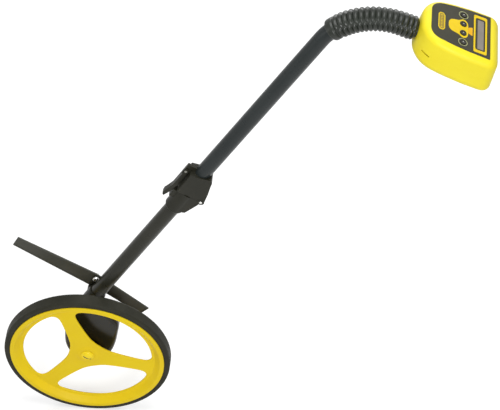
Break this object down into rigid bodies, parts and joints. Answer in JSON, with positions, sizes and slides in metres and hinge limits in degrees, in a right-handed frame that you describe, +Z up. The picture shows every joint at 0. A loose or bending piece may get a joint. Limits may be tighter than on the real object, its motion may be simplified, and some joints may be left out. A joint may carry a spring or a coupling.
{
  "type": "measuring wheel",
  "caption": "Walking measuring wheel: tyred spoked road wheel on a folding pole, ribbed curved grip and a battery display head with buttons.",
  "frame": {"origin": "where the tyre rests on the ground, under the middle of the wheel", "axes": "+Z up, +Y along the axle from the hub cap side towards the pole, +X the way the pole leans towards the user"},
  "size_m": [0.8713, 0.1207, 1.0452],
  "materials": {
    "yellow_plastic": "moulded, semi-gloss",
    "tyre_rubber": "dull",
    "bush_bronze": "plain",
    "magnet": "plain",
    "bright_steel": "zinc plated",
    "black_plastic": "moulded, satin",
    "board": "flat",
    "coated_tube": "dark coated, satin",
    "black_rubber": "matt",
    "panel": "satin film",
    "display": "glossy",
    "cell_wrap": "plain wrap"
  },
  "bodies": {
    "frame": {"axle_bolt": "bright_steel", "axle_washer": "bright_steel", "axle_nut": "bright_steel", "sensor_housing": "black_plastic", "housing_cover": "black_plastic", "housing_screw_1": "bright_steel", "housing_screw_2": "bright_steel", "housing_screw_3": "bright_steel", "sensor_board": "board", "pole_socket": "black_plastic", "lower_tube": "coated_tube", "fold_bracket_lower": "black_plastic", "fold_pin": "bright_steel", "stand_bolt": "bright_steel", "stand_nut": "bright_steel"},
    "wheel": {"wheel_rim": "yellow_plastic", "tyre": "tyre_rubber", "hub_cap": "yellow_plastic", "bush_back": "bush_bronze", "bush_front": "bush_bronze", "magnet_ring": "magnet"},
    "stand": {"kickstand": "coated_tube"},
    "upper": {"upper_tube": "coated_tube", "fold_bracket_upper": "black_plastic", "latch_pin": "bright_steel", "grip": "black_rubber", "head_shell_upper": "yellow_plastic", "head_shell_lower": "yellow_plastic", "shell_screw_1": "bright_steel", "shell_screw_2": "bright_steel", "shell_screw_3": "bright_steel", "shell_screw_4": "bright_steel", "panel": "panel", "display_frame": "yellow_plastic", "display_window": "display", "display_module": "display", "panel_inlay": "yellow_plastic", "circuit_board": "board", "battery_tray": "black_plastic", "cell_1": "cell_wrap", "cell_2": "cell_wrap", "cell_3": "cell_wrap", "cell_4": "cell_wrap", "contact_plate_1": "bright_steel", "contact_plate_2": "bright_steel"},
    "lever": {"latch_lever": "black_plastic"},
    "door": {"battery_door": "yellow_plastic"},
    "button_a": {"button_1": "black_plastic"},
    "button_b": {"button_2": "black_plastic"},
    "button_c": {"button_3": "black_plastic"},
    "button_d": {"button_4": "black_plastic"}
  },
  "joints": [
    {"name": "wheel_turn", "type": "hinge", "parent": "frame", "child": "wheel", "pos_m": [0, 0, 0.1589], "axis": [0, 1, 0], "continuous": true},
    {"name": "stand_swing", "type": "hinge", "parent": "frame", "child": "stand", "pos_m": [0.016, 0, 0.3109], "axis": [0, 1, 0], "range_deg": [-90, 90]},
    {"name": "pole_fold", "type": "hinge", "parent": "frame", "child": "upper", "pos_m": [0.22107, 0.04194, 0.57658], "axis": [0, 1, 0], "range_deg": [0, 135]},
    {"name": "latch_turn", "type": "hinge", "parent": "upper", "child": "lever", "pos_m": [0.19508, 0.04194, 0.64206], "axis": [0, 1, 0], "range_deg": [0, 75]},
    {"name": "door_turn", "type": "hinge", "parent": "upper", "child": "door", "pos_m": [0.60489, 0.04194, 0.96098], "axis": [0, 1, 0], "range_deg": [0, 100]},
    {"name": "button_press_1", "type": "slide", "parent": "upper", "child": "button_a", "axis": [-0.3795, 0, -0.9252], "range_m": [0, 0.0012], "stiffness_N_per_m": 600},
    {"name": "button_press_2", "type": "slide", "parent": "upper", "child": "button_b", "axis": [-0.3795, 0, -0.9252], "range_m": [0, 0.0012], "stiffness_N_per_m": 600},
    {"name": "button_press_3", "type": "slide", "parent": "upper", "child": "button_c", "axis": [-0.3795, 0, -0.9252], "range_m": [0, 0.0012], "stiffness_N_per_m": 600},
    {"name": "button_press_4", "type": "slide", "parent": "upper", "child": "button_d", "axis": [-0.3795, 0, -0.9252], "range_m": [0, 0.0012], "stiffness_N_per_m": 600}
  ]
}
